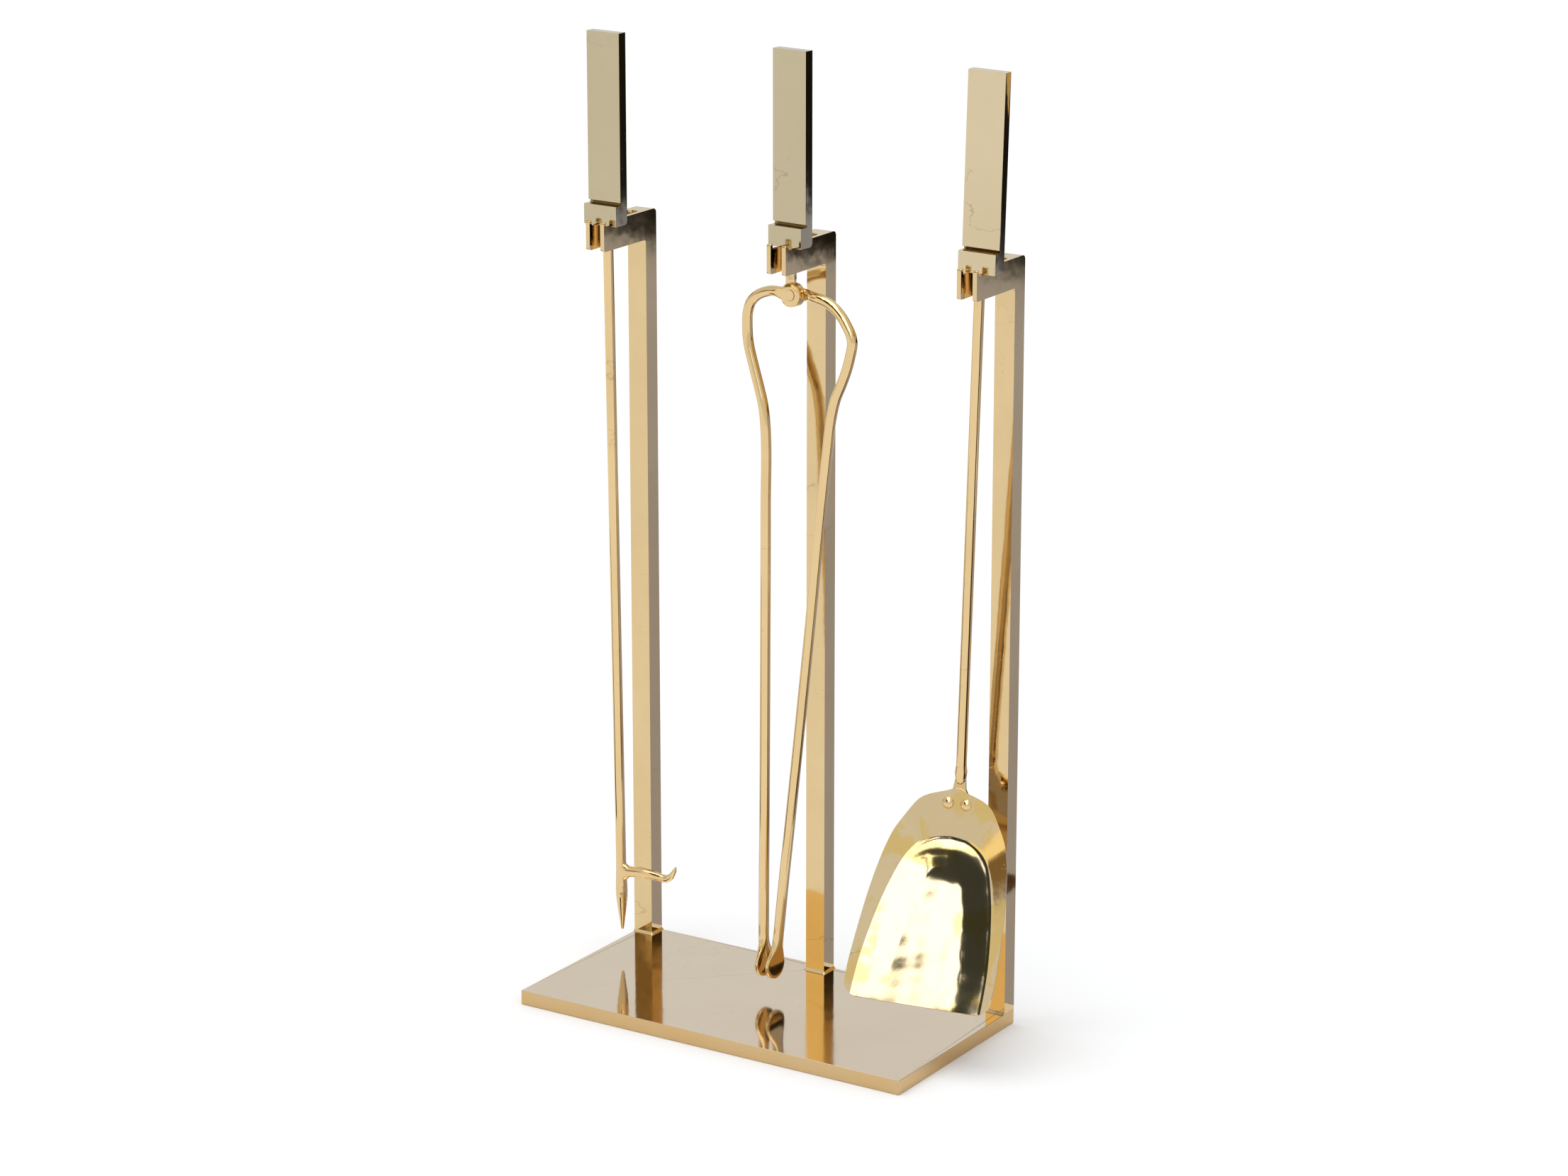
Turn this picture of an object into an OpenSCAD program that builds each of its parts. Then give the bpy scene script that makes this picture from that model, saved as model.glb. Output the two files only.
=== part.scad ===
// Fireplace tool set: a rectangular base plate with three square posts.
// Each post turns forward into a short forked arm. A poker, a pair of tongs
// and an ash shovel hang by their handle blocks in the three forks.
// Units are millimetres. Origin: centre of the underside of the base plate.
// X runs along the row of posts, Y runs to the back, Z is up.

/* [Base] */
// Length of the base plate along the row
plate_w = 340; // [330:1:360]
// Depth of the base plate
plate_d = 170; // [150:1:200]
// Thickness of the base plate
plate_t = 11.3; // [9:0.1:14]

/* [Posts] */
// Height of the post and arm tops above the floor
top_z = 597.9; // [590:0.1:606]
// Width of a post across the row
post_w = 16.6; // [15.6:0.1:18]
// Depth of a post
post_d = 14.4; // [12:0.1:16]
// Reach of each arm in front of the plate's rear edge
arm_reach = 70.2; // [68:0.1:74]
// Height of an arm
arm_h = 22.5; // [20:0.1:24]
// Width of the slot between the two prongs
slot_w = 9.6; // [9:0.1:10]
// Depth of the notch the handle block sits in
seat_drop = 4.2; // [4:0.1:4.4]

/* [Handles] */
// Width of a handle
grip_w = 30; // [28:1:33]
// Thickness of the flat grip
grip_t = 8.3; // [7.5:0.1:9]
// Height of the handle above the seat
grip_h = 145.7; // [120:0.1:170]
// Height of the block at the foot of the handle
block_h = 15.4; // [14:0.1:18]
// Depth of the block at the foot of the handle
block_d = 14.1; // [13.4:0.1:14.3]

/* [Rods] */
// Diameter of the rods
rod_d = 8; // [7.6:0.1:8.2]
// Diameter of the three tongs eyes
eye_d = 18; // [16:0.5:18]
// Thickness of each tongs eye
eye_t = 2.5; // [2.2:0.1:2.6]
// Diameter of the tongs rivet
pin_d = 4.4; // [3.6:0.1:4.8]

/* [Display] */
// Which sub-part to draw

/* [Hidden] */
$fn = 64;
rear_y = plate_d / 2;
tip_y = rear_y - arm_reach;          // front of the prong tips
seat_z = top_z - seat_drop;          // level the blocks sit on
post_x = plate_w / 2 - post_w / 2;
screw_d = 5;
screw_y = rear_y - post_d / 2;
brass = [0.83, 0.68, 0.42];
steel = [0.72, 0.72, 0.74];

// ---------- small tools ----------
function lerp(a, b, t) = a + (b - a) * t;
function dist2(p, q) = sqrt((p[0]-q[0])*(p[0]-q[0]) + (p[1]-q[1])*(p[1]-q[1]));

// Catmull-Rom curve through rows of numbers
function cr(a, b, c, d, t) = [for (k = [0:len(a)-1])
    0.5*((2*b[k]) + (c[k]-a[k])*t + (2*a[k]-5*b[k]+4*c[k]-d[k])*t*t + (3*b[k]-a[k]-3*c[k]+d[k])*t*t*t)];
function curve(p, n) = concat(
    [for (i = [0:len(p)-2]) let (m = dist2(p[i], p[i+1]) < 4 ? 2 : n) for (j = [0:m-1])
        cr(p[max(i-1,0)], p[i], p[i+1], p[min(i+2,len(p)-1)], j/m)],
    [p[len(p)-1]]);

// Elliptic sweep in the plane X-Z. Each row: [x, z, y offset, half width in the plane, half depth in y]
module sweep(rows, sides = 28) {
    n = len(rows);
    tang = [for (i = [0:n-1]) let (p = rows[max(i-1,0)], q = rows[min(i+1,n-1)], l = dist2(p, q)) [(q[0]-p[0])/l, (q[1]-p[1])/l]];
    pts = [for (i = [0:n-1]) for (k = [0:sides-1]) let (an = 360*k/sides, c = cos(an), s = sin(an), r = rows[i])
        [r[0] - tang[i][1]*r[3]*c, r[2] + r[4]*s, r[1] + tang[i][0]*r[3]*c]];
    faces = concat(
        [[for (k = [sides-1:-1:0]) k]],
        [for (i = [0:n-2]) for (k = [0:sides-1]) let (a = i*sides+k, b = i*sides+(k+1)%sides) each [[a, b, a+sides], [b, b+sides, a+sides]]],
        [[for (k = [0:sides-1]) (n-1)*sides + k]]);
    polyhedron(points = pts, faces = faces, convexity = 8);
}

// ---------- base and posts ----------
module screw_places() {
    for (x = [-post_x, 0, post_x]) translate([x, screw_y, 0]) children();
}

module base_plate() {
    color(brass) difference() {
        translate([-plate_w/2, -plate_d/2, 0]) cube([plate_w, plate_d, plate_t]);
        screw_places() {
            translate([0, 0, -1]) cylinder(d = screw_d, h = plate_t + 2);
            translate([0, 0, -0.01]) cylinder(d1 = 10.02, d2 = screw_d, h = 2.51);
        }
    }
}

// side outline of a post with its arm, in [y, z]
module post_outline() {
    difference() {
        union() {
            translate([rear_y - post_d, plate_t]) square([post_d, top_z - plate_t]);
            translate([tip_y, top_z - arm_h]) square([arm_reach, arm_h]);
        }
        // rounded outer corner
        difference() {
            translate([rear_y - 3.5, top_z - 3.5]) square([4, 4]);
            translate([rear_y - 3.5, top_z - 3.5]) circle(r = 3.5);
        }
        // rounded lower corner of the tip
        difference() {
            translate([tip_y - 1, top_z - arm_h - 1]) square([3, 3]);
            translate([tip_y + 2, top_z - arm_h + 2]) circle(r = 2);
        }
        // seat notch behind the raised tips
        translate([tip_y + 3, seat_z]) square([24.6, seat_drop + 5]);
        // round top of the raised tips
        difference() {
            translate([tip_y - 1, top_z - 1.5]) square([5, 3]);
            translate([tip_y + 1.5, top_z - 1.5]) circle(r = 1.5);
        }
    }
    // round inner corner
    difference() {
        translate([rear_y - post_d - 2, top_z - arm_h - 2]) square([2.5, 2.5]);
        translate([rear_y - post_d - 2, top_z - arm_h - 2]) circle(r = 2);
    }
}

// brazed fillet along the foot: sides lists the sides it runs on
module foot(sides) {
    f = 1.8;
    for (s = sides) {
        translate([s*post_w/2, rear_y, plate_t]) rotate([90, 0, 0]) linear_extrude(post_d) polygon([[0, 0], [s*f, 0], [0, f]]);
        translate([s*post_w/2, rear_y - post_d, plate_t]) cylinder(r1 = f, r2 = 0.02, h = f);
    }
    translate([-post_w/2, rear_y - post_d, plate_t]) rotate([90, 0, 90]) linear_extrude(post_w) polygon([[0.1, 0], [-f, 0], [0, f], [0.1, f]]);
}

module post(sides) {
    difference() {
        union() {
            rotate([90, 0, 90]) translate([0, 0, -post_w/2]) linear_extrude(post_w) post_outline();
            foot(sides);
        }
        // slot between the prongs, with a round inner end
        translate([-slot_w/2, tip_y - 1, top_z - arm_h - 1]) cube([slot_w, rear_y - 17 - slot_w/2 - tip_y + 1, arm_h + 2]);
        translate([0, rear_y - 17 - slot_w/2, top_z - arm_h - 1]) cylinder(d = slot_w, h = arm_h + 2);
        translate([0, screw_y, plate_t - 1]) cylinder(d = screw_d, h = 19);
    }
}

module post_left() { color(brass) translate([-post_x, 0, 0]) post([1]); }
module post_center() { color(brass) post([-1, 1]); }
module post_right() { color(brass) translate([post_x, 0, 0]) post([-1]); }

module base_screws() {
    color(steel) screw_places() difference() {
        union() {
            cylinder(d1 = 10, d2 = screw_d, h = 2.5);
            cylinder(d = screw_d, h = plate_t + 16);
        }
        translate([0, 0, -1]) cylinder(d = 3.4, h = 2.6, $fn = 6);
    }
}

// ---------- handles ----------
// side outline of a handle in [y, z]; rear face at y = 0, seat at z = 0
module handle_outline() {
    difference() {
        polygon([[-block_d, 0], [0, 0], [0, grip_h], [-grip_t, grip_h], [-grip_t, block_h + 2.2],
                 [-grip_t + 2.6, block_h + 1.1], [-grip_t + 1.4, block_h], [-block_d, block_h]]);
        difference() {
            translate([-3, -1]) square([4, 4]);
            translate([-3, 3]) circle(r = 3);
        }
    }
}

module handle_body() {
    rotate([90, 0, 90]) translate([0, 0, -grip_w/2]) linear_extrude(grip_w) handle_outline();
}

// axis_y: distance of the rod axis in front of the rear face; tilt: direction of the rod
module handle(axis_y, tilt) {
    difference() {
        handle_body();
        translate([0, -axis_y, 0]) rotate(tilt) translate([0, 0, -5]) cylinder(d = rod_d, h = 13);
    }
}

// ---------- poker ----------
poker_seat = [-161.6, 36.4, seat_z + 0.3];
poker_axis = 4.5;
poker_tilt = [-0.25, -0.85, 2.2];
module poker_place() { translate(poker_seat) rotate([0, 0, -2.2]) children(); }
module poker_rod_place() { poker_place() translate([0, -poker_axis, 0]) rotate(poker_tilt) children(); }

module poker_handle() { color(brass) poker_place() handle(poker_axis, poker_tilt); }

module poker_spear() {
    rotate_extrude() polygon([[0, -565.4], [0.7, -565], [1.15, -564], [2.1, -557], [3.2, -549], [4.0, -542.5], [4.5, -537.5],
                              [4.65, -533], [4.55, -528], [4.2, -520], [4, -514], [0, -514]]);
}
module poker_shaft() {
    color(brass) poker_rod_place() {
        translate([0, 0, -514]) cylinder(d = rod_d, h = 522);
        poker_spear();
    }
}

// rows measured from the rod axis: [x, z below the seat, y, half height, half depth]
hook_rows = [[2, -516.4, 0, 8.4, 3.9], [4.2, -516.4, 0, 6.6, 4], [6, -516.2, 0, 5.2, 4.1], [8.5, -515.9, 0, 4.4, 4.15],
             [16, -515.2, 0, 4.15, 4.1], [24, -515.0, 0, 3.95, 3.9], [32, -515.4, 0, 3.5, 3.5], [38, -516.0, 0, 3.15, 3.1],
             [42.6, -515.8, 0, 2.9, 2.8], [46.6, -513.6, 0, 2.5, 2.4], [49.3, -510, 0, 1.9, 1.9], [51.2, -506.4, 0, 1.2, 1.2], [52, -504.4, 0, 0.6, 0.6]];
module poker_hook() {
    color(brass) poker_rod_place() difference() {
        sweep(curve(hook_rows, 4), 24);
        translate([0, 0, -530]) cylinder(d = rod_d, h = 40);
    }
}

// ---------- tongs ----------
tongs_seat = [0.3, 41.5, seat_z + 0.35];
tongs_axis = 4.9;
tongs_turn = -4.3;
tongs_lean = -2.4;
pivot = [1.9, -36.6];                   // across, down from the seat
gap = 0.12;
lay = eye_t + gap;
module tongs_place() { translate(tongs_seat) rotate([0, 0, tongs_turn]) children(); }
module tongs_plane() { tongs_place() translate([0, -tongs_axis, 0]) rotate([tongs_lean, 0, 0]) children(); }
module eye(y, h, d) { translate([pivot[0], y + h/2, pivot[1]]) rotate([90, 0, 0]) cylinder(d = d, h = h); }

module tongs_handle() { color(brass) tongs_place() handle(tongs_axis, [tongs_lean, 0, 0]); }

module tongs_stem() {
    color(brass) tongs_plane() difference() {
        union() {
            translate([0, 0, -22]) cylinder(d = rod_d, h = 30);
            translate([0, 0, -25]) cylinder(d1 = rod_d + 0.4, d2 = rod_d, h = 3);
            translate([-4, -eye_t/2, -36]) cube([8, eye_t, 12]);
            eye(0, eye_t, eye_d);
        }
        eye(0, 20, pin_d);
    }
}

// rows: [across, down, depth offset, half width, half depth]
left_rows = [[-3, -36.2, -lay, 5.3, 1.15], [-8.2, -35.8, -lay, 4.5, 1.2], [-10.5, -35.6, -lay*0.8, 4.2, 2.3], [-14, -35.7, -lay*0.2, 4, 3.8], [-18.5, -36.3, 0, 4, 4],
             [-24.5, -38.1, 0, 4, 4], [-30.8, -41.2, 0, 4, 4], [-36.4, -46.8, 0, 4, 4], [-39, -54.5, 0, 4, 4], [-39.4, -64, 0, 4, 4], [-37.8, -78.5, 0, 4, 4],
             [-34.4, -89.5, 0, 4, 4], [-30.7, -100, 0, 4, 4], [-26.8, -111, 0, 4, 4], [-22.7, -124, 0, 4, 4], [-19.8, -144, 0, 4, 4],
             [-18.1, -202, 0, 4, 4], [-15.3, -311, 0, 4, 4], [-12.6, -420, 0, 4, 4], [-10.8, -501, 0, 4, 4], [-10.1, -530, 0, 4, 4],
             [-9.7, -541, 0, 3.8, 4.4], [-9.2, -548, 0, 2.8, 5.8], [-8.8, -555, 0, 1.6, 7.5], [-8.6, -560, 0, 1.3, 8]];
right_rows = [[6.8, -36.2, lay, 5.3, 1.15], [12, -35.8, lay, 4.5, 1.2], [14.3, -35.7, lay*0.8, 4.2, 2.3], [18, -35.9, lay*0.2, 4, 3.8], [22.5, -36.4, 0, 4, 4],
              [29, -37.4, 0, 4, 4], [38.8, -40.9, 0, 4, 4], [46.1, -46.6, 0, 4, 4], [52.1, -53.9, 0, 4, 4], [56.2, -60.8, 0, 4, 4], [57.3, -67, 0, 4, 4], [55.9, -75.2, 0, 4, 4],
              [52.9, -86.5, 0, 4, 4], [48.6, -97.9, 0, 4, 4], [43.7, -109.5, 0, 4, 4], [39.9, -126.5, 0, 4, 4], [37.6, -148.6, 0, 4, 4],
              [33.2, -195, 0, 4, 4], [26.6, -278, 0, 4, 4], [12.2, -443.5, 0, 4, 4], [7.6, -493, 0, 4, 4], [4.8, -527, 0, 4, 4],
              [3.8, -539, 0, 3.8, 4.4], [2.9, -547, 0, 2.8, 5.8], [1.9, -555, 0, 1.6, 7.5], [1.5, -560, 0, 1.3, 8]];
pad_d = 22.5;
pad_t = 3.6;
pad_x = [-8.5, 1.4];
pad_z = -558.8;

// side: -1 left, +1 right
module tongs_arm(side, rows) {
    difference() {
        union() {
            sweep(curve(rows, 3), 20);
            eye(side*lay, eye_t, eye_d);
            translate([pad_x[side < 0 ? 0 : 1], 0, pad_z]) rotate([0, 90, 0]) cylinder(d = pad_d, h = pad_t, center = true);
        }
        eye(0, 40, pin_d + 0.1);
        eye(0, eye_t + 2*gap - 0.04, eye_d + 8);
        // countersink for the rivet head
        eye(side*(lay + eye_t/2), 1.8, 8.4);
    }
}
module tongs_arm_left() { color(brass) tongs_plane() tongs_arm(-1, left_rows); }
module tongs_arm_right() { color(brass) tongs_plane() tongs_arm(1, right_rows); }

module tongs_rivet() {
    color(brass) tongs_plane() {
        eye(0, 2*lay + eye_t, pin_d);
        for (s = [-1, 1]) eye(s*(lay + eye_t/2 - 0.1), 1.2, 8);
    }
}

// ---------- shovel ----------
shovel_seat = [163.6, 37.6, seat_z + 0.35];
shovel_turn = 3;
shovel_lean = 1.5;
// line of the rod
rod_seat = [162.1, 33.4, seat_z + 0.35];
rod_end = [142.6, 47.6, 201.5];
rod_dir = (rod_seat - rod_end) / norm(rod_seat - rod_end);
// middle of the rivet line on the front of the rim
rivet_mid = [143.6, 40.6, 184.2];
// frame of the pan floor: X across, Z up the floor, Y out of its back
pan_origin = [140.4, 48.4, 178.0];
pan_turn = [-36.8, 2.4, 14];
// the rim stands steeper than the floor by this angle
rim_angle = 24.2;
rim_slope = tan(rim_angle);
pan_t = 1.6;
rivet_x = 7;
tab_t = 3.2;
back_t = 1.5;
module shovel_place() { translate(shovel_seat) rotate([0, shovel_lean, shovel_turn]) children(); }
module pan_place() { translate(pan_origin) rotate(pan_turn) children(); }
module rim_place() { translate(rivet_mid) rotate([pan_turn[0] + rim_angle, pan_turn[1], pan_turn[2]]) children(); }

module seg(a, b, d1, d2) {
    v = b - a;
    l = norm(v);
    translate(a) rotate([0, acos(v[2]/l), atan2(v[1], v[0])]) cylinder(d1 = d1, d2 = d2, h = l);
}

module shovel_handle() {
    color(brass) difference() {
        shovel_place() handle_body();
        seg(rod_seat - 6*rod_dir, rod_seat + 8*rod_dir, rod_d, rod_d);
    }
}

module tab_outline() {
    for (s = [-1, 1]) translate([s*rivet_x, 0]) circle(r = 5.6);
    translate([-rivet_x, -5.6]) square([2*rivet_x, 11.2]);
    polygon([[-9, 4.8], [9, 4.8], [5, 11], [4, 18.4], [-4, 18.4], [-5, 11]]);
}

module shovel_shaft() {
    color(brass) difference() {
        union() {
            seg(rod_seat + 8*rod_dir, rod_end, rod_d, rod_d);
            // collar where the rod is bent
            seg(rod_end + 11*rod_dir, rod_end + 6*rod_dir, rod_d + 0.2, rod_d + 1.6);
            seg(rod_end + 6.5*rod_dir, rod_end + 2*rod_dir, rod_d + 1.4, rod_d + 0.6);
            translate(rod_end) sphere(d = rod_d + 0.4);
            rim_place() translate([0, back_t + tab_t, 0]) rotate([90, 0, 0]) linear_extrude(tab_t) tab_outline();
        }
        rim_place() for (s = [-1, 1]) translate([s*rivet_x, 20, 0]) rotate([90, 0, 0]) cylinder(d = 4, h = 40);
    }
}

// half width of the pan at each distance below the rivets
pan_edge = [[-10.7, 2], [-10.2, 3.6], [-8.1, 8.5], [-5.6, 17], [-3.2, 23.4], [0.4, 28.5], [3.5, 30.9], [12, 35.8], [24.7, 43.3], [41, 47.8], [59, 51],
            [79, 53.5], [104, 55.4], [129, 56.8], [146.7, 56.4], [150, 55], [152.6, 52.6], [154.3, 49.8], [155, 47]];
// the hollow: round at the top, then half widths further down
top_r = 35.5;
top_s = 58.5;
hollow_edge = [[58.5, 35.5], [66, 38.6], [83, 43.1], [103, 46.3], [123, 48.6], [138, 49.4], [155, 49.7]];
bowl = 3;
function smooth(t) = let (c = min(1, max(0, t))) c*c*(3 - 2*c);
function hollow_w(s) = s < top_s ? sqrt(max(0, top_r*top_r - (top_s - s)*(top_s - s))) : lookup(s, hollow_edge);
function outside(x, s) = s < top_s ? norm([x, top_s - s]) - top_r : abs(x) - lookup(s, hollow_edge);
// rim: rises at a steady slope after a soft crease
function rim(d) = d < 0 ? 0 : d < 3 ? rim_slope*d*d/6 : rim_slope*(d - 1.5);
function dish(x, s) = let (d = outside(x, s)) bowl*smooth(-d/24)*smooth((s - 20)/40)*(1 - 0.6*smooth((s - 90)/65));
function front_y(x, s) = dish(x, s) - rim(outside(x, s) + 1.5);
pan_rows = [-10.7, -10.2, -9, -7, -5, -3, 0, 4, 8, 12, 16, 19.5, 22, 23.4, 25, 27, 29.5, 32.5, 36, 40, 45, 51, 58, 66, 76, 88, 100, 112, 124, 136, 146.7, 150, 152.6, 154.3, 155];
// signed columns across the floor, over the crease and up the rim
function pan_cols(s) = let (w = lookup(s, pan_edge), b = min(hollow_w(s), w - 3), i = max(0, b - 2), o = min(b + 2, w - 0.5),
    h = concat([for (k = [1:6]) (b < 4 ? o*0.5 : i)*k/6], b < 4 ? [for (k = [1:4]) o*(0.5 + k/8)] : [for (k = [1:4]) lerp(i, o, k/4)], [for (k = [1:3]) lerp(o, w, k/3)]))
    concat([for (k = [len(h)-1:-1:0]) -h[k]], [0], h);

module shovel_pan() {
    nr = len(pan_rows);
    nc = len(pan_cols(0));
    front = [for (s = pan_rows) let (c = pan_cols(s)) for (x = c) [x, front_y(x, s), -s]];
    back = [for (q = front) [q[0], q[1] + pan_t, q[2]]];
    m = nr*nc;
    faces = concat(
        [for (i = [0:nr-2]) for (j = [0:nc-2]) let (a = i*nc+j) each [[a, a+1, a+nc], [a+1, a+nc+1, a+nc]]],
        [for (i = [0:nr-2]) for (j = [0:nc-2]) let (a = m+i*nc+j) each [[a, a+nc, a+1], [a+1, a+nc, a+nc+1]]],
        [for (i = [0:nr-2]) for (j = [0, nc-1]) let (a = i*nc+j, b = a+nc)
            each (j == 0 ? [[a, b, m+a], [b, m+b, m+a]] : [[a, m+a, b], [b, m+a, m+b]])],
        [for (i = [0, nr-1]) for (j = [0:nc-2]) let (a = i*nc+j, b = a+1)
            each (i == 0 ? [[a, m+a, b], [b, m+a, m+b]] : [[a, b, m+a], [b, m+b, m+a]])]);
    color(brass) difference() {
        pan_place() polyhedron(points = concat(front, back), faces = faces, convexity = 6);
        rim_place() for (s = [-1, 1]) translate([s*rivet_x, 20, 0]) rotate([90, 0, 0]) cylinder(d = 4, h = 40);
    }
}

module shovel_rivets() {
    color(brass) rim_place() for (s = [-1, 1]) translate([s*rivet_x, 0, 0]) {
        translate([0, back_t + tab_t + 0.9, 0]) rotate([90, 0, 0]) cylinder(d = 4, h = back_t + tab_t + 1.8);
        // domed head in front
        intersection() {
            translate([0, 3, 0]) sphere(r = 5.5);
            translate([-6, -6, -6]) cube([12, 6, 12]);
        }
        // flat set head behind
        translate([0, back_t + tab_t + 1, 0]) rotate([90, 0, 0]) cylinder(d = 7.4, h = 1);
    }
}

base_plate();
post_left();
post_center();
post_right();
base_screws();
poker_handle();
poker_shaft();
poker_hook();
tongs_handle();
tongs_stem();
tongs_arm_left();
tongs_arm_right();
tongs_rivet();
shovel_handle();
shovel_shaft();
shovel_pan();
shovel_rivets();
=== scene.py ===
import bpy, bmesh, math
from mathutils import Vector, Matrix


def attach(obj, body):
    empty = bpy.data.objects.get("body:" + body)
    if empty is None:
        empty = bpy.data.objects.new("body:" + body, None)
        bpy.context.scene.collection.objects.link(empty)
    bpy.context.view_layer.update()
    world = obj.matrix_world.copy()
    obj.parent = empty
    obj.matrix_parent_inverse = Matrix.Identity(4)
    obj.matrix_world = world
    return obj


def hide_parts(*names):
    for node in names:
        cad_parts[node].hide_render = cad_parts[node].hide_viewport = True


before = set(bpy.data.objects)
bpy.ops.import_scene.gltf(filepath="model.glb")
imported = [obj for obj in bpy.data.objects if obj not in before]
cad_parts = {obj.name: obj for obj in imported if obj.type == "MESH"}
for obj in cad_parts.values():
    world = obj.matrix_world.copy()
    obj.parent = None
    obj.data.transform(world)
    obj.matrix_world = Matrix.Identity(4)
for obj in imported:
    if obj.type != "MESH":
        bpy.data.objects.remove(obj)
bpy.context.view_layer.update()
scene = bpy.context.scene
rad = math.radians
MM = 0.001


# ------------------------------------------------------------ camera
def make_camera():
    pos = Vector((1.7207, -2.6856, 1.2630))
    yaw, pitch, focal = rad(32.402), rad(16.14), 6272.4
    fwd = Vector((-math.sin(yaw) * math.cos(pitch), math.cos(yaw) * math.cos(pitch), -math.sin(pitch)))
    cam = bpy.data.cameras.new("camera")
    cam.sensor_width = 36
    cam.lens = focal / 2212 * 36
    cam.clip_start, cam.clip_end = 0.05, 60
    obj = bpy.data.objects.new("camera", cam)
    scene.collection.objects.link(obj)
    obj.location = pos
    obj.rotation_mode = "QUATERNION"
    obj.rotation_quaternion = fwd.to_track_quat("-Z", "Y")
    scene.camera = obj


# ------------------------------------------------------------ materials
class Nodes:
    """Short helper around a material's node tree."""

    def __init__(self, name):
        self.mat = bpy.data.materials.new(name)
        self.mat.use_nodes = True
        self.t = self.mat.node_tree
        self.t.nodes.clear()
        self.out = self.t.nodes.new("ShaderNodeOutputMaterial")
        self.bsdf = self.t.nodes.new("ShaderNodeBsdfPrincipled")
        self.t.links.new(self.bsdf.outputs[0], self.out.inputs[0])
        self.co = self.t.nodes.new("ShaderNodeTexCoord").outputs["Object"]

    def link(self, a, b):
        self.t.links.new(a, b)

    def node(self, kind, **props):
        n = self.t.nodes.new(kind)
        for k, v in props.items():
            setattr(n, k, v)
        return n

    def mapping(self, scale, rot=(0, 0, 0)):
        m = self.node("ShaderNodeMapping")
        m.inputs["Scale"].default_value = scale
        m.inputs["Rotation"].default_value = rot
        self.link(self.co, m.inputs["Vector"])
        return m.outputs[0]

    def noise(self, scale, detail=2.0, rough=0.5, vec=None, distortion=0.0):
        n = self.node("ShaderNodeTexNoise")
        n.inputs["Scale"].default_value = scale
        n.inputs["Detail"].default_value = detail
        n.inputs["Roughness"].default_value = rough
        n.inputs["Distortion"].default_value = distortion
        self.link(vec or self.co, n.inputs["Vector"])
        return n.outputs["Fac"]

    def voronoi(self, scale, vec=None, feature="F1"):
        n = self.node("ShaderNodeTexVoronoi", feature=feature)
        n.inputs["Scale"].default_value = scale
        self.link(vec or self.co, n.inputs["Vector"])
        return n.outputs["Distance"]

    def ramp(self, fac, stops, interp="LINEAR"):
        n = self.node("ShaderNodeValToRGB")
        n.color_ramp.interpolation = interp
        els = n.color_ramp.elements
        while len(els) < len(stops):
            els.new(0.5)
        for e, (p, c) in zip(els, stops):
            e.position = p
            e.color = (c, c, c, 1) if isinstance(c, (int, float)) else (*c, 1)
        self.link(fac, n.inputs[0])
        return n.outputs[0]

    def math(self, op, a, b):
        n = self.node("ShaderNodeMath", operation=op)
        for i, v in enumerate((a, b)):
            if isinstance(v, (int, float)):
                n.inputs[i].default_value = v
            else:
                self.link(v, n.inputs[i])
        return n.outputs[0]

    def mix(self, fac, a, b):
        n = self.node("ShaderNodeMix", data_type="RGBA")
        for sock, v in ((n.inputs[0], fac), (n.inputs[6], a), (n.inputs[7], b)):
            if isinstance(v, (int, float)):
                sock.default_value = v
            elif isinstance(v, tuple):
                sock.default_value = (*v, 1)
            else:
                self.link(v, sock)
        return n.outputs[2]

    def bump(self, height, strength, distance, normal=None):
        n = self.node("ShaderNodeBump")
        n.inputs["Strength"].default_value = strength
        n.inputs["Distance"].default_value = distance
        self.link(height, n.inputs["Height"])
        if normal:
            self.link(normal, n.inputs["Normal"])
        return n.outputs[0]


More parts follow.
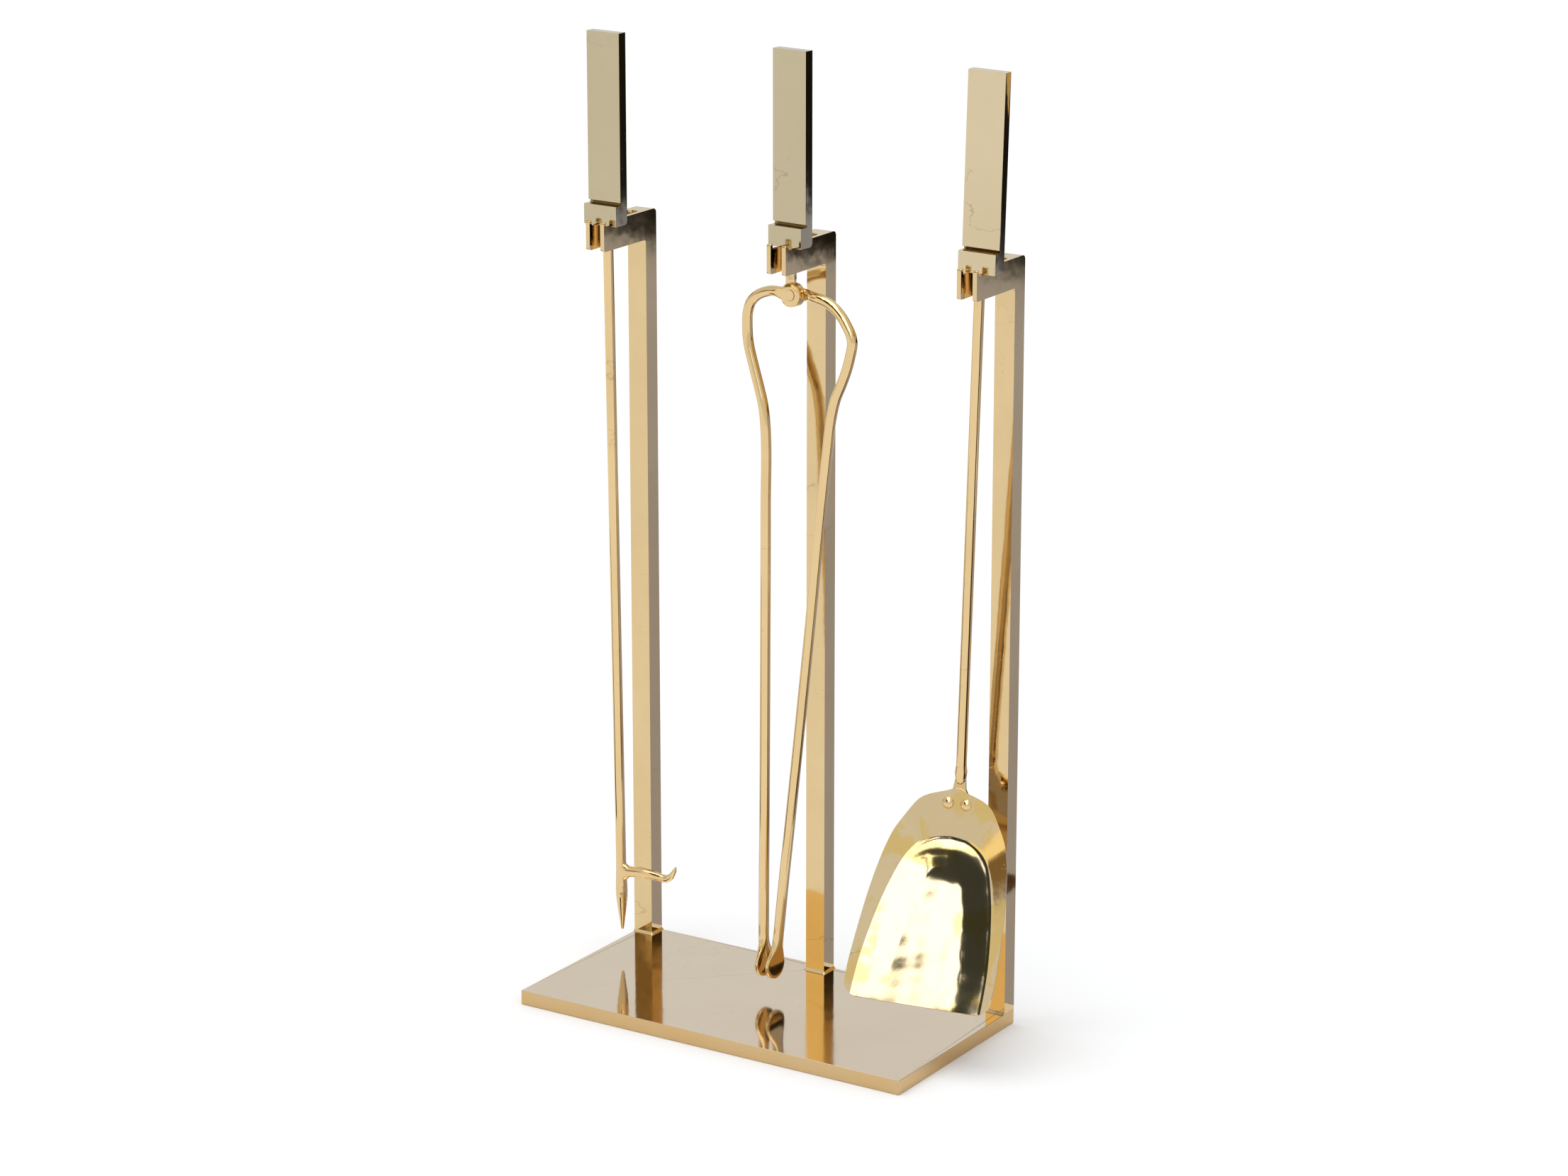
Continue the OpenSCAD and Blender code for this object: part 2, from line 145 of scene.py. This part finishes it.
def brass(name, tone=(0.72, 0.54, 0.29), dark=(0.56, 0.40, 0.19), rough=(0.05, 0.11), scratch=(1, 1, 0.03), scratch_amt=0.25, ripple=0.0001, veins=0.35, painted_side_shade=None, patch=None):
    m = Nodes(name)
    cloud = m.ramp(m.noise(14, 4, 0.6), [(0.35, 0.0), (0.72, 1.0)])
    pits = m.ramp(m.voronoi(420), [(0.05, 1.0), (0.13, 0.0)])
    few = m.ramp(m.noise(60, 2), [(0.60, 0.0), (0.68, 1.0)])
    pit = m.math("MULTIPLY", pits, few)
    lines = m.noise(900, 3, 0.7, m.mapping(scratch))
    # painted shade and reflection: faces that don't point up get the darker, deeper gold side colour instead of the
    # tone
    if painted_side_shade:
        geo = m.node("ShaderNodeTexCoord").outputs["Normal"]
        sep = m.node("ShaderNodeSeparateXYZ")
        m.link(geo, sep.inputs[0])
        tone = m.mix(m.ramp(sep.outputs[2], [(0.2, 0.0), (0.8, 1.0)]), painted_side_shade, tone)
    base = m.mix(m.math("MULTIPLY", cloud, 0.3), tone, dark)
    # hairline stains left by polishing
    v = m.math("ABSOLUTE", m.math("SUBTRACT", m.noise(11, 5, 0.55, m.mapping((1, 1, 2.2))), 0.5), 0)
    vein = m.ramp(v, [(0.0, 1.0), (0.006, 0.0)])
    vein = m.math("MULTIPLY", vein, m.ramp(m.noise(9, 2), [(0.50, 0.0), (0.62, 1.0)]))
    if patch:
        ragged = m.ramp(m.noise(17, 8, 0.62, None, 0.4), [(0.52, 0.0), (0.56, 1.0)])
        base = m.mix(ragged, base, patch)
    base = m.mix(m.math("MULTIPLY", vein, veins), base, (0.20, 0.15, 0.09))
    base = m.mix(m.math("MULTIPLY", pit, 0.75), base, (0.13, 0.09, 0.04))
    m.link(base, m.bsdf.inputs["Base Color"])
    r = m.ramp(m.math("ADD", m.math("MULTIPLY", cloud, 0.5), m.math("MULTIPLY", lines, 0.5)), [(0.2, rough[0]), (0.8, rough[1])])
    m.link(r, m.bsdf.inputs["Roughness"])
    m.bsdf.inputs["Metallic"].default_value = 1.0
    n1 = m.bump(m.noise(24, 3, 0.45), 1.0, ripple * 3)
    n2 = m.bump(lines, scratch_amt, 0.00002, n1)
    n3 = m.bump(m.math("SUBTRACT", 1.0, pit), 0.6, 0.0003, n2)
    m.link(n3, m.bsdf.inputs["Normal"])
    return m.mat


def plain(name, color, rough, metallic=0.0):
    m = Nodes(name)
    v = m.noise(6, 3)
    m.link(m.mix(m.math("MULTIPLY", v, 0.05), color, tuple(c * 0.9 for c in color)), m.bsdf.inputs["Base Color"])
    m.bsdf.inputs["Roughness"].default_value = rough
    m.bsdf.inputs["Metallic"].default_value = metallic
    return m.mat


def put(node, mat):
    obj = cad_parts[node]
    if obj.material_slots:
        for s in obj.material_slots:
            s.link = "OBJECT"
            s.material = mat
    else:
        obj.data.materials.append(mat)


def soften(node, width, segments=3, angle=30):
    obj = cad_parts[node]
    w = obj.modifiers.new("weld", "WELD")
    w.merge_threshold = 0.000005
    b = obj.modifiers.new("bevel", "BEVEL")
    b.width = width
    b.segments = segments
    b.limit_method = "ANGLE"
    b.angle_limit = rad(angle)
    b.harden_normals = True
    b.use_clamp_overlap = True


POST = brass("brass_post")
# the plate's edges get a painted darker, deeper gold side colour that stands in for their reflections
PLATE = brass("brass_plate", tone=(0.73, 0.61, 0.46), dark=(0.64, 0.52, 0.38), scratch=(0.05, 1, 1), painted_side_shade=(0.62, 0.42, 0.19), ripple=0.00004, veins=0.12)
GRIP = brass("brass_grip", tone=(0.53, 0.45, 0.295), dark=(0.45, 0.37, 0.22), veins=0.6)
# painted light: a lighter copy of the grip brass, standing in for the brighter light on the shovel's handle
GRIP_PAINTED_LIT = brass("brass_grip_painted_lit", tone=(0.66, 0.54, 0.35), dark=(0.55, 0.44, 0.26), veins=0.6)
ROD = brass("brass_rod", tone=(0.76, 0.56, 0.29), dark=(0.60, 0.42, 0.19), ripple=0.00005)
PAN = brass("brass_pan", tone=(0.74, 0.58, 0.34), dark=(0.66, 0.48, 0.24), scratch=(1, 1, 0.02), scratch_amt=0.5, rough=(0.06, 0.13), ripple=0.00007, patch=(0.74, 0.53, 0.20))
STEEL = plain("steel_screw", (0.6, 0.6, 0.62), 0.3, 1.0)

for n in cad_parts:
    put(n, ROD)
for n in ("post_left", "post_center", "post_right"):
    put(n, POST)
    soften(n, 0.0005)
put("base_plate", PLATE)
soften("base_plate", 0.0007)
# the shovel's handle takes the lighter, painted-lit copy of the grip brass
for n in ("poker_handle", "tongs_handle", "shovel_handle"):
    put(n, GRIP_PAINTED_LIT if n == "shovel_handle" else GRIP)
    soften(n, 0.0008)
put("shovel_pan", PAN)
put("base_screws", STEEL)

# ------------------------------------------------------------ swept and pressed pieces
def basis(rx, ry, rz):
    return (Matrix.Rotation(rad(rz), 4, "Z") @ Matrix.Rotation(rad(ry), 4, "Y") @ Matrix.Rotation(rad(rx), 4, "X"))


def catmull(rows, step):
    """Smooth curve through rows [x, z, y offset, half width, half depth, power], by arc length."""
    out = []
    n = len(rows)
    for i in range(n - 1):
        a, b, c, d = rows[max(i - 1, 0)], rows[i], rows[i + 1], rows[min(i + 2, n - 1)]
        l = math.hypot(c[0] - b[0], c[1] - b[1])
        la, lc = max(math.hypot(b[0] - a[0], b[1] - a[1]), 1e-6), max(math.hypot(d[0] - c[0], d[1] - c[1]), 1e-6)
        m = max(2, int(l / step))
        for k in range(m):
            t = k / m
            h = []
            for q in range(len(b)):
                # tangents scaled by the real spacing keep the curve from overshooting
                mb = 0.5 * ((c[q] - b[q]) + (b[q] - a[q]) * l / la) if i else c[q] - b[q]
                mc = 0.5 * ((c[q] - b[q]) + (d[q] - c[q]) * l / lc) if i < n - 2 else c[q] - b[q]
                h.append((2 * t**3 - 3 * t**2 + 1) * b[q] + (t**3 - 2 * t**2 + t) * mb + (3 * t**2 - 2 * t**3) * c[q] + (t**3 - t**2) * mc)
            out.append(h)
    out.append(list(rows[-1]))
    return out


def sweep_into(bm, rows, sides, place, step=2.0):
    rows = [list(r) + [2.0] * (6 - len(r)) for r in rows]
    rows = catmull(rows, step)
    n = len(rows)
    rings = []
    for i, r in enumerate(rows):
        p, q = rows[max(i - 1, 0)], rows[min(i + 1, n - 1)]
        tx, tz = q[0] - p[0], q[1] - p[1]
        l = math.hypot(tx, tz)
        tx, tz = tx / l, tz / l
        ring = []
        for k in range(sides):
            an = 2 * math.pi * k / sides
            c, sn = math.cos(an), math.sin(an)
            e = 2 / max(r[5], 1.0)
            cc = math.copysign(abs(c) ** e, c)
            ss = math.copysign(abs(sn) ** e, sn)
            v = Vector((r[0] - tz * r[3] * cc, r[2] + r[4] * ss, r[1] + tx * r[3] * cc)) * MM
            ring.append(bm.verts.new(place @ v))
        rings.append(ring)
    for i in range(n - 1):
        for k in range(sides):
            k2 = (k + 1) % sides
            bm.faces.new((rings[i][k], rings[i][k2], rings[i + 1][k2], rings[i + 1][k]))
    bm.faces.new(list(reversed(rings[0])))
    bm.faces.new(rings[-1])


def lathe_into(bm, profile, place, sides=64):
    """Closed ring profile [(radius, height)] turned about local Z."""
    rings = []
    for k in range(sides):
        an = 2 * math.pi * k / sides
        rings.append([bm.verts.new(place @ (Vector((r * math.cos(an), r * math.sin(an), h)) * MM)) for r, h in profile])
    m = len(profile)
    for k in range(sides):
        a, b = rings[k], rings[(k + 1) % sides]
        for q in range(m):
            q2 = (q + 1) % m
            bm.faces.new((a[q], b[q], b[q2], a[q2]))


def build(name, bm, mat, body, replaces, angle=35):
    bmesh.ops.remove_doubles(bm, verts=bm.verts, dist=1e-7)
    bmesh.ops.recalc_face_normals(bm, faces=bm.faces)
    mesh = bpy.data.meshes.new(name)
    bm.to_mesh(mesh)
    bm.free()
    obj = bpy.data.objects.new(name, mesh)
    scene.collection.objects.link(obj)
    mesh.materials.append(mat)
    for poly in mesh.polygons:
        poly.use_smooth = True
    mesh.set_sharp_from_angle(angle=rad(angle))
    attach(obj, body)
    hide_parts(replaces)
    return obj


SEAT = 597.9 - 4.2
TONGS = Matrix.Translation(Vector((0.3, 41.5, SEAT + 0.35)) * MM) @ Matrix.Rotation(rad(-4.3), 4, "Z") @ Matrix.Translation(Vector((0, -4.9, 0)) * MM) @ Matrix.Rotation(rad(-2.4), 4, "X")
POKER = (Matrix.Translation(Vector((-161.6, 36.4, SEAT + 0.3)) * MM) @ Matrix.Rotation(rad(-2.2), 4, "Z")
         @ Matrix.Translation(Vector((0, -4.5, 0)) * MM) @ basis(-0.25, -0.85, 2.2))
PAN_M = Matrix.Translation(Vector((140.4, 48.4, 178.0)) * MM) @ basis(-36.8, 2.4, 14)
PIVOT = (1.9, -36.6)
EYE_T, GAP = 2.5, 0.12
LAY = EYE_T + GAP

PAD_L = [[-10.8, -501, 0, 4, 4, 2], [-10.1, -530, 0, 4, 4, 2], [-9.8, -539, 0, 3.95, 4.1, 2], [-9.4, -544, 0, 3.5, 5.2, 2.2], [-9.0, -548.6, 0, 2.7, 7.2, 2.8],
         [-8.7, -552, 0, 2.1, 9.1, 3.6], [-8.55, -555.3, 0, 1.85, 10.5, 4.5], [-8.5, -558.8, 0, 1.8, 11.2, 5], [-8.5, -562.4, 0, 1.8, 10.6, 5], [-8.5, -565.6, 0, 1.8, 8.9, 5],
         [-8.5, -568.0, 0, 1.75, 6.4, 4.5], [-8.5, -569.3, 0, 1.6, 3.9, 3.5], [-8.5, -569.9, 0, 1.2, 1.8, 2.5]]
PAD_R = [[7.6, -493, 0, 4, 4, 2], [4.8, -527, 0, 4, 4, 2], [3.9, -537.5, 0, 3.95, 4.1, 2], [3.3, -543, 0, 3.5, 5.2, 2.2], [2.6, -548, 0, 2.7, 7.2, 2.8],
         [2.0, -551.8, 0, 2.1, 9.1, 3.6], [1.6, -555.3, 0, 1.85, 10.5, 4.5], [1.4, -558.8, 0, 1.8, 11.2, 5], [1.4, -562.4, 0, 1.8, 10.6, 5], [1.4, -565.6, 0, 1.8, 8.9, 5],
         [1.4, -568.0, 0, 1.75, 6.4, 4.5], [1.4, -569.3, 0, 1.6, 3.9, 3.5], [1.4, -569.9, 0, 1.2, 1.8, 2.5]]
LEFT = [[-3, -36.2, -LAY, 5.3, 1.15, 2.6], [-8.2, -35.8, -LAY, 4.5, 1.2, 2.4], [-10.5, -35.6, -LAY * 0.8, 4.2, 2.3, 2], [-14, -35.7, -LAY * 0.2, 4, 3.8, 2], [-18.5, -36.3, 0, 4, 4, 2],
        [-24.5, -38.1, 0, 4, 4, 2], [-30.8, -41.2, 0, 4, 4, 2], [-36.4, -46.8, 0, 4, 4, 2], [-39, -54.5, 0, 4, 4, 2], [-39.4, -64, 0, 4, 4, 2], [-37.8, -78.5, 0, 4, 4, 2],
        [-34.4, -89.5, 0, 4, 4, 2], [-30.7, -100, 0, 4, 4, 2], [-26.8, -111, 0, 4, 4, 2], [-22.7, -124, 0, 4, 4, 2], [-19.8, -144, 0, 4, 4, 2],
        [-18.1, -202, 0, 4, 4, 2], [-15.3, -311, 0, 4, 4, 2], [-12.6, -420, 0, 4, 4, 2]] + PAD_L
RIGHT = [[6.8, -36.2, LAY, 5.3, 1.15, 2.6], [12, -35.8, LAY, 4.5, 1.2, 2.4], [14.3, -35.7, LAY * 0.8, 4.2, 2.3, 2], [18, -35.9, LAY * 0.2, 4, 3.8, 2], [22.5, -36.4, 0, 4, 4, 2],
         [29, -37.4, 0, 4, 4, 2], [38.8, -40.9, 0, 4, 4, 2], [46.1, -46.6, 0, 4, 4, 2], [52.1, -53.9, 0, 4, 4, 2], [56.2, -60.8, 0, 4, 4, 2], [57.3, -67, 0, 4, 4, 2], [55.9, -75.2, 0, 4, 4, 2],
         [52.9, -86.5, 0, 4, 4, 2], [48.6, -97.9, 0, 4, 4, 2], [43.7, -109.5, 0, 4, 4, 2], [39.9, -126.5, 0, 4, 4, 2], [37.6, -148.6, 0, 4, 4, 2],
         [33.2, -195, 0, 4, 4, 2], [26.6, -278, 0, 4, 4, 2], [12.2, -443.5, 0, 4, 4, 2]] + PAD_R


def tongs_arm(name, rows, painted_side_shade, body):
    bm = bmesh.new()
    sweep_into(bm, rows, 40, TONGS)
    # eye: a disc with a bore, a countersink on its outer face and rounded rims
    h, b, o, cs = EYE_T / 2, 2.25, 9.0, 0.9
    prof = [(b, -h), (o - 0.35, -h), (o - 0.1, -h + 0.12), (o, -h + 0.35), (o, h - 0.5), (o - 0.16, h - 0.16), (o - 0.5, h), (4.35, h), (4.2, h - 0.15), (4.2, h - cs), (b, h - cs)]
    flip = Matrix.Rotation(rad(90 if painted_side_shade < 0 else -90), 4, "X")
    lathe_into(bm, prof, TONGS @ Matrix.Translation(Vector((PIVOT[0], painted_side_shade * LAY, PIVOT[1])) * MM) @ flip, 72)
    return build(name, bm, ROD, body, name)


def hook():
    rows = [[2, -516.4, 0, 9.2, 3.6, 2], [4.2, -516.4, 0, 6.9, 3.9, 2], [6, -516.2, 0, 5.3, 4.05, 2], [8.5, -515.9, 0, 4.4, 4.15, 2],
            [16, -515.2, 0, 4.15, 4.1, 2], [24, -515.0, 0, 3.95, 3.9, 2], [32, -515.4, 0, 3.5, 3.5, 2], [38, -516.0, 0, 3.15, 3.1, 2],
            [42.6, -515.8, 0, 2.9, 2.8, 2], [46.6, -513.6, 0, 2.5, 2.4, 2], [49.3, -510, 0, 1.9, 1.9, 2], [51.1, -506.6, 0, 1.2, 1.2, 2], [51.9, -504.6, 0, 0.5, 0.5, 2]]
    bm = bmesh.new()
    sweep_into(bm, rows, 36, POKER, 0.8)
    return build("poker_hook", bm, ROD, "poker", "poker_hook", angle=60)


def smooth(t):
    t = min(1.0, max(0.0, t))
    return t * t * (3 - 2 * t)


def table(tab, s):
    if s <= tab[0][0]:
        return tab[0][1]
    for (a, x), (b, y) in zip(tab, tab[1:]):
        if s <= b:
            return x + (y - x) * (s - a) / (b - a)
    return tab[-1][1]


EDGE = [[-10.7, 2], [-10.2, 3.6], [-8.1, 8.5], [-5.6, 17], [-3.2, 23.4], [0.4, 28.5], [3.5, 30.9], [12, 35.8], [24.7, 43.3], [41, 47.8], [59, 51],
        [79, 53.5], [104, 55.4], [129, 56.8], [146.7, 56.4], [150, 55], [152.6, 52.6], [154.3, 49.8], [155, 47]]
# outline of the hollow, half of it, from the middle of its top: half width, distance down
HOLLOW = [[0, 23], [12.1, 25.1], [22.8, 31.3], [30.7, 40.8], [34.9, 50.5], [38, 61], [40.8, 72], [43.6, 86], [46.4, 104], [48.6, 123], [49.4, 138], [49.7, 156], [49.8, 170]]


def edge_w(s):
    # nearby values averaged, so the outline has no corners
    reach = max(0.0, min(9.0, 0.45 * (s + 10.7), 0.6 * (155 - s)))
    total = weight = 0.0
    for k in range(-6, 7):
        q = 1 - (k / 7) ** 2
        total += q * table(EDGE, s + reach * k / 6)
        weight += q
    return total / weight


LINE = [(r[0], r[1]) for r in catmull([list(r) for r in HOLLOW], 2.5)]


def outside(x, s):
    """Distance from the hollow's outline, positive on the rim."""
    x = abs(x)
    best, sign = 1e9, 1.0
    for (ax, ay), (bx, by) in zip(LINE, LINE[1:]):
        dx, dy = bx - ax, by - ay
        t = min(1.0, max(0.0, ((x - ax) * dx + (s - ay) * dy) / (dx * dx + dy * dy)))
        px, py = x - ax - t * dx, s - ay - t * dy
        d = px * px + py * py
        if d < best:
            best = d
            sign = 1.0 if px * dy - py * dx > 0 else -1.0
    return sign * math.sqrt(best)


SLOPE = math.tan(rad(24.2))


def front_y(x, s):
    d = outside(x, s)
    bowl = 3 * smooth(-d / 24) * smooth((s - 20) / 40) * (1 - 0.6 * smooth((s - 90) / 65))
    q = d + 1.5
    rim = 0 if q < 0 else SLOPE * q * q / 6 if q < 3 else SLOPE * (q - 1.5)
    # slow unevenness left by the pressing and hammering of the sheet
    soft = smooth(-d / 6)
    dent = 0.10 * math.sin(x / 9.1 + 1.3 * math.sin(s / 17)) * math.sin(s / 12.7 + 0.8) + 0.05 * math.sin(x / 4.3 + s / 6.1) * math.sin(s / 5.2 - x / 7.7)
    return bowl - rim + dent * soft


def pan():
    rows = []
    s = -10.7
    while s < 155:
        rows.append(s)
        s += 0.5 if s < -4 or s > 145 else 1.3
    rows.append(155.0)
    nc = 90
    bm = bmesh.new()
    t = 1.6
    front, back = [], []
    for s in rows:
        w = edge_w(s)
        fr, bk = [], []
        for j in range(nc + 1):
            u = -1 + 2 * j / nc
            x = w * math.sin(u * math.pi / 2) * 0.35 + w * u * 0.65
            y = front_y(x, s)
            fr.append(bm.verts.new(PAN_M @ (Vector((x, y, -s)) * MM)))
            bk.append(bm.verts.new(PAN_M @ (Vector((x, y + t, -s)) * MM)))
        front.append(fr)
        back.append(bk)
    n = len(rows)
    for i in range(n - 1):
        for j in range(nc):
            bm.faces.new((front[i][j], front[i][j + 1], front[i + 1][j + 1], front[i + 1][j]))
            bm.faces.new((back[i][j], back[i + 1][j], back[i + 1][j + 1], back[i][j + 1]))
        for j in (0, nc):
            bm.faces.new((front[i][j], front[i + 1][j], back[i + 1][j], back[i][j]))
    for i in (0, n - 1):
        for j in range(nc):
            bm.faces.new((front[i][j], front[i][j + 1], back[i][j + 1], back[i][j]))
    obj = build("shovel_pan", bm, PAN, "shovel", "shovel_pan", angle=50)
    b = obj.modifiers.new("bevel", "BEVEL")
    b.width = 0.00045
    b.segments = 2
    b.limit_method = "ANGLE"
    b.angle_limit = rad(50)
    return obj


# ------------------------------------------------------------ studio
def card(name, center, size, facing, low, high=None, field=None):
    """A card that only reflections see: one colour, or two with a ragged border between them."""
    mesh = bpy.data.meshes.new(name)
    w, h = size[0] / 2, size[1] / 2
    mesh.from_pydata([(-w, -h, 0), (w, -h, 0), (w, h, 0), (-w, h, 0)], [], [(0, 1, 2, 3)])
    obj = bpy.data.objects.new(name, mesh)
    scene.collection.objects.link(obj)
    obj.location = center
    obj.rotation_mode = "QUATERNION"
    obj.rotation_quaternion = (Vector(facing) - Vector(center)).to_track_quat("Z", "Y")
    m = Nodes(name)
    m.t.nodes.remove(m.bsdf)
    e = m.node("ShaderNodeEmission")
    if field:
        ax, ay, off, amp, scale, edge = field
        sep = m.node("ShaderNodeSeparateXYZ")
        m.link(m.co, sep.inputs[0])
        f = m.math("ADD", m.math("MULTIPLY", sep.outputs[0], ax), m.math("MULTIPLY", sep.outputs[1], ay))
        n = m.math("MULTIPLY", m.math("SUBTRACT", m.noise(scale, 4, 0.6), 0.5), amp)
        f = m.math("ADD", m.math("ADD", f, n), off)
        f = m.ramp(m.math("ADD", m.math("DIVIDE", f, edge), 0.5), [(0.0, 0.0), (1.0, 1.0)])
        m.link(m.mix(f, low, high), e.inputs[0])
    else:
        e.inputs[0].default_value = (*low, 1)
    m.link(e.outputs[0], m.out.inputs[0])
    mesh.materials.append(m.mat)
    obj.visible_camera = False
    obj.visible_diffuse = False
    obj.visible_shadow = False
    obj.visible_transmission = False
    return obj


def studio():
    world = bpy.data.worlds.new("studio")
    scene.world = world
    world.use_nodes = True
    bg = world.node_tree.nodes["Background"]
    bg.inputs[0].default_value = (0.97, 0.985, 1.0, 1)
    bg.inputs[1].default_value = 0.85
    floor_mesh = bpy.data.meshes.new("floor")
    r = 14
    floor_mesh.from_pydata([(-r, -r, 0), (r, -r, 0), (r, r, 0), (-r, r, 0)], [], [(0, 1, 2, 3)])
    floor = bpy.data.objects.new("floor", floor_mesh)
    scene.collection.objects.link(floor)
    floor.location.z = -0.0002
    floor_mesh.materials.append(plain("floor_paper", (0.95, 0.95, 0.95), 0.95))
    # to the right and behind: a low black band, grey under it, warm over it
    card("dark_right", (0.95, 1.0, 0.29), (2.6, 0.58), (0.1, 0, 0.29), (0.45, 0.48, 0.62), (0.012, 0.010, 0.008), (-0.26, 1, -0.09, 0.09, 22, 0.01))
    card("warm_right", (0.95, 1.0, 1.04), (2.6, 0.92), (0.1, 0, 1.04), (0.62, 0.42, 0.17))
    card("grey_right", (0.42, 0.76, 0.012), (1.5, 1.34), (0.42, 0.76, 1.0), (0.42, 0.44, 0.57))
    # strips near the floor, the thin lines along the rods
    card("line_right", (1.25, 0.17, 0.014), (1.9, 0.34), (1.25, 0.17, 1.0), (0.07, 0.04, 0.015))
    strip = card("line_left", (-0.85, -0.36, 0.010), (0.95, 0.20), (-0.85, -0.36, 1.0), (0.12, 0.075, 0.03))
    strip.rotation_quaternion = Matrix.Rotation(rad(30), 3, "Z").to_quaternion()
    # low warm box in front to the left, seen by way of the base
    card("box_left", (-1.0, -1.6, 0.86), (1.5, 0.52), (-1.0 + 0.53, -1.6 + 0.85, 0.86), (1.30, 1.10, 0.62), (0.25, 0.16, 0.06), (1, 0.3, -0.20, 0.5, 5, 0.02))
    # high in front: bright box with a dark ragged side, seen by the hollow of the shovel
    card("box_high", (0.2, -1.5, 1.75), (2.6, 2.2), (0.16, 0, 0.1), (2.4, 2.5, 2.75), (0.05, 0.058, 0.055), (0.8, -0.7, -0.10, 2.8, 3.0, 0.05))
    sun = bpy.data.lights.new("sky", "SUN")
    sun.energy = 0.9
    sun.angle = rad(50)
    ob = bpy.data.objects.new("sky", sun)
    scene.collection.objects.link(ob)
    ob.rotation_mode = "QUATERNION"
    ob.rotation_quaternion = Vector((0.10, 0.18, -1)).to_track_quat("-Z", "Y")


tongs_arm("tongs_arm_left", LEFT, -1, "tongs_left")
tongs_arm("tongs_arm_right", RIGHT, 1, "tongs_right")
hook()
pan()
make_camera()
studio()
scene.view_settings.view_transform = "Standard"
scene.view_settings.look = "None"
